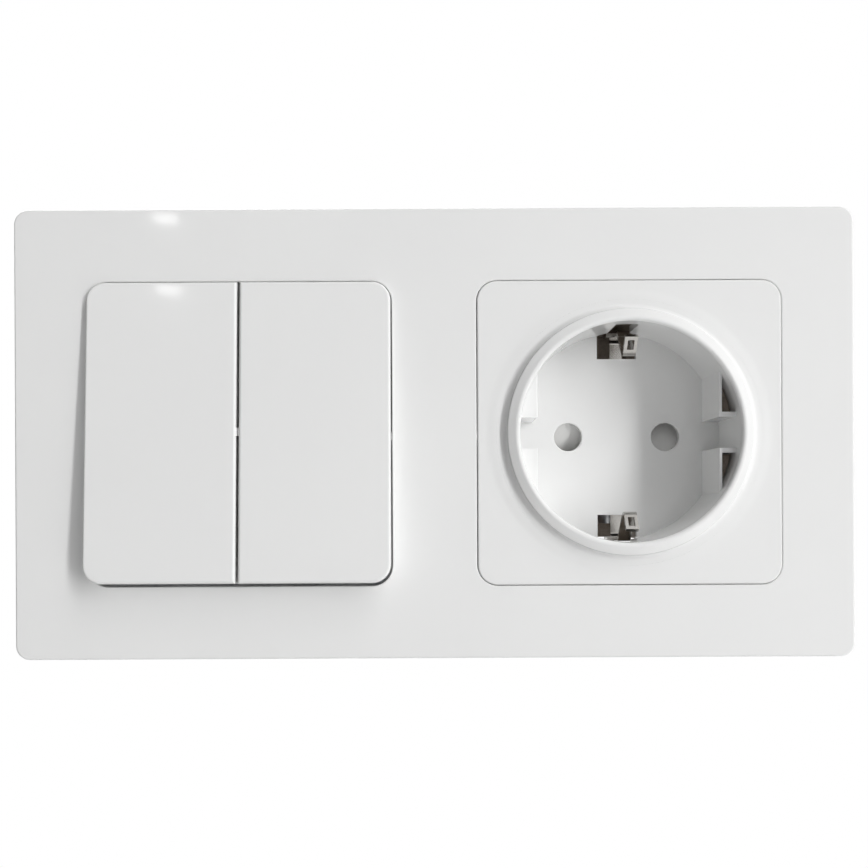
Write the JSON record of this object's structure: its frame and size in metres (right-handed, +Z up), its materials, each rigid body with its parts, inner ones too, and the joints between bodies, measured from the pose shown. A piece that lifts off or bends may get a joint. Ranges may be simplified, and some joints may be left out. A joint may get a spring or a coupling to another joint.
{
  "type": "switch and socket combination",
  "caption": "White wall frame with a double rocker switch beside an earthed round socket: a raised collar, deep plug well, guide keys, earth clips and a shutter behind the pin holes.",
  "frame": {"origin": "centre of the frame's back, on the wall", "axes": "+X to the right along the frame's length, +Y into the wall, +Z up; the front looks along -Y"},
  "size_m": [0.153, 0.0395, 0.082],
  "materials": {
    "white_plastic": "gloss",
    "shutter_plastic": "satin",
    "toggle_plastic": "satin",
    "base_plastic": "matt",
    "steel": "zinc-plated",
    "brass": "bare",
    "nickel": "nickel-plated"
  },
  "bodies": {
    "housing": {"frame": "white_plastic", "switch_plate": "steel", "socket_plate": "steel", "switch_bridge": "toggle_plastic", "switch_base": "base_plastic", "common_terminal": "brass", "output_left": "brass", "output_right": "brass", "switch_clamps": "steel", "switch_screws": "steel", "bridge_fixings": "steel", "socket_cover": "white_plastic", "shutter_spring": "steel", "socket_base": "base_plastic", "contact_line": "brass", "contact_neutral": "brass", "earth_bracket": "nickel", "socket_clamps": "steel", "socket_screws": "steel", "socket_fixings": "steel"},
    "left_rocker": {"rocker_left": "white_plastic", "toggle_left": "toggle_plastic", "plunger_left": "toggle_plastic", "spring_left": "steel"},
    "right_rocker": {"rocker_right": "white_plastic", "toggle_right": "toggle_plastic", "plunger_right": "toggle_plastic", "spring_right": "steel"},
    "left_contact": {"contact_left": "brass"},
    "right_contact": {"contact_right": "brass"},
    "rotor": {"shutter": "shutter_plastic"}
  },
  "joints": [
    {"name": "rocker_left_tilt", "type": "hinge", "parent": "housing", "child": "left_rocker", "pos_m": [-0.04942, -0.0058, 0], "axis": [1, 0, 0], "range_deg": [0, 6.6]},
    {"name": "rocker_right_tilt", "type": "hinge", "parent": "housing", "child": "right_rocker", "pos_m": [-0.02158, -0.0058, 0], "axis": [1, 0, 0], "range_deg": [0, 6.6]},
    {"name": "contact_left_tilt", "type": "hinge", "parent": "housing", "child": "left_contact", "pos_m": [-0.04942, 0.00715, 0], "axis": [1, 0, 0], "range_deg": [-12, 0]},
    {"name": "contact_right_tilt", "type": "hinge", "parent": "housing", "child": "right_contact", "pos_m": [-0.02158, 0.00715, 0], "axis": [1, 0, 0], "range_deg": [-12, 0]},
    {"name": "shutter_turn", "type": "hinge", "parent": "housing", "child": "rotor", "pos_m": [0.0355, 0.0077, 0], "axis": [0, 1, 0], "range_deg": [0, 40], "stiffness_Nm_per_rad": 0.004, "springref_deg": -20.05}
  ],
  "couplings": [
    {"joint": "contact_left_tilt", "follows": "rocker_left_tilt", "ratio": -1.818},
    {"joint": "contact_right_tilt", "follows": "rocker_right_tilt", "ratio": -1.818}
  ]
}
